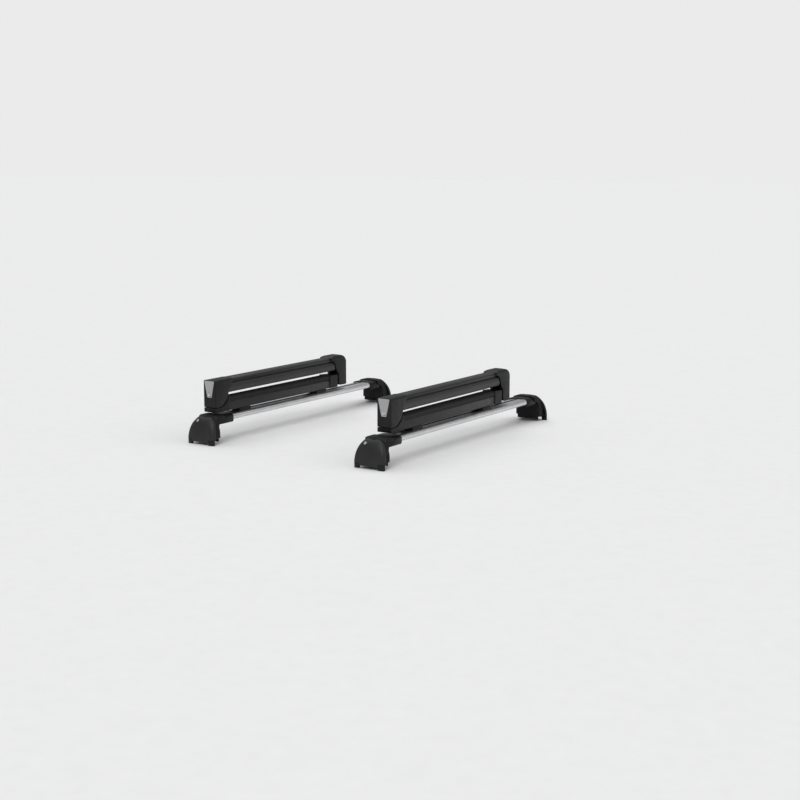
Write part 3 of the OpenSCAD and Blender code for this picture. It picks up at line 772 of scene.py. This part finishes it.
def add_foot_body(row, side):
    node = f"{row}_{side}_foot_body"
    place = foot_frame(row, side)
    body = boolean(raw_copy(node), to_object(body_form(TOWER_END_X), "form", place), "INTERSECT")
    plate = loft([[(x, y, z) for x, z in NECK_SIDE] for y in (-NECK_PLATE_HALF_W, NECK_PLATE_HALF_W)])
    neck = to_object(plate, "neck", place)
    boolean(neck, to_object(body_form(NECK_FORM_END_X), "form", place), "INTERSECT")
    boolean(neck, to_object(sleeve_form(), "sleeve", place), "DIFFERENCE")
    boolean(body, neck, "UNION")
    stand_for(smooth(bevel(tidy_cut(body), *BODY_BEVEL)), node)


def add_clamp_jaw(row, side):
    """The jaw, its prongs rounded to the plan of the cover above them."""
    node = f"{row}_{side}_clamp_jaw"
    place = foot_frame(row, side)
    plan = cover_row(NOTCH_Z, cover_edge_x(NOTCH_Z), JAW_PLAY)
    plan = [(FACE_DEPTH, plan[0][1], 0)] + plan + [(FACE_DEPTH, plan[-1][1], 0)]
    form = loft([[(x, y, z) for x, y, _ in plan] for z in (-1, COVER_H)])
    jaw = boolean(raw_copy(node), to_object(form, "form", place), "INTERSECT")
    stand_for(smooth(bevel(tidy_cut(jaw), *JAW_BEVEL)), node)


# ---------------------------------------------------------------- button marks

def add_key_marks(row):
    """The dot and the arc beside the key lock, a little proud of the button's face."""
    place = carrier_frame(row)
    front_x = BUTTON_FACE_X - MARK_H
    dot = rod((BUTTON_FACE_X, *KEY_DOT_AT), (front_x, *KEY_DOT_AT), KEY_DOT_R, 20)
    dress(smooth(to_object(dot, row + "_key_dot", place)), row + "_button", "carrier_plastic")
    y, z = KEY_AT
    start, turn, steps = KEY_ARC
    inner, outer = KEY_ARC_R
    rings = []
    for i in range(steps + 1):
        a = radians(start + turn * i / steps)
        corners = ((BUTTON_FACE_X, inner), (BUTTON_FACE_X, outer), (front_x, outer), (front_x, inner))
        rings.append([(x, y + r * cos(a), z + r * sin(a)) for x, r in corners])
    arc = to_object(loft(rings), row + "_key_arc", place)
    dress(smooth(arc), row + "_button", "carrier_plastic")


# ---------------------------------------------------------------- latch spring

def add_latch_spring(row):
    """The coil spring: a smoothed copy of its CAD mesh, with a mesh of its own; nothing here shortens it as
    the button goes in.
    """
    node = row + "_latch_spring"
    spring = smooth(raw_copy(node))
    stand_for(spring, node)
    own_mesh(spring)


# ---------------------------------------------------------------- build

# Parts that keep their CAD shape, and the (width in mm, segments) asked for at their edges; see bevel
SOFT_EDGES = {
    "base_profile": (0.4, 2), "base_end_cap": (0.9, 3), "hinge_base": (0.9, 3), "hinge_pin": (0.4, 2),
    "arm_profile": (0.5, 2), "hinge_cap": (0.8, 3), "latch_housing": (0.7, 3), "button": (0.6, 3),
    "key_lock": (0.3, 2), "latch_hook": (0.3, 2), "mount_saddles": (0.8, 2),
    "mount_bolts": (0.3, 2), "slot_strip": (0.2, 2), "bar_sleeves": (0.6, 2),
    "foot_lock": (0.4, 2), "rail_pad": (0.5, 2), "clamp_screw": (0.3, 2),
}

add_camera()
add_studio()
for row_name in ROWS:
    add_crossbar(row_name)
    add_arm_rubber(row_name)
    add_base_rubber(row_name)
    add_key_marks(row_name)
    add_latch_spring(row_name)
    for side_name in SIDES:
        add_foot_cover(row_name, side_name)
        add_foot_body(row_name, side_name)
        add_clamp_jaw(row_name, side_name)

for node_name in sorted(frame["nodes"]):
    part = next((p for p in SOFT_EDGES if node_name.endswith(p)), None)
    if part:
        scored = END_CAP_LINES if part == "base_end_cap" else ()
        stand_for(soft_copy(node_name, *SOFT_EDGES[part], scored), node_name)
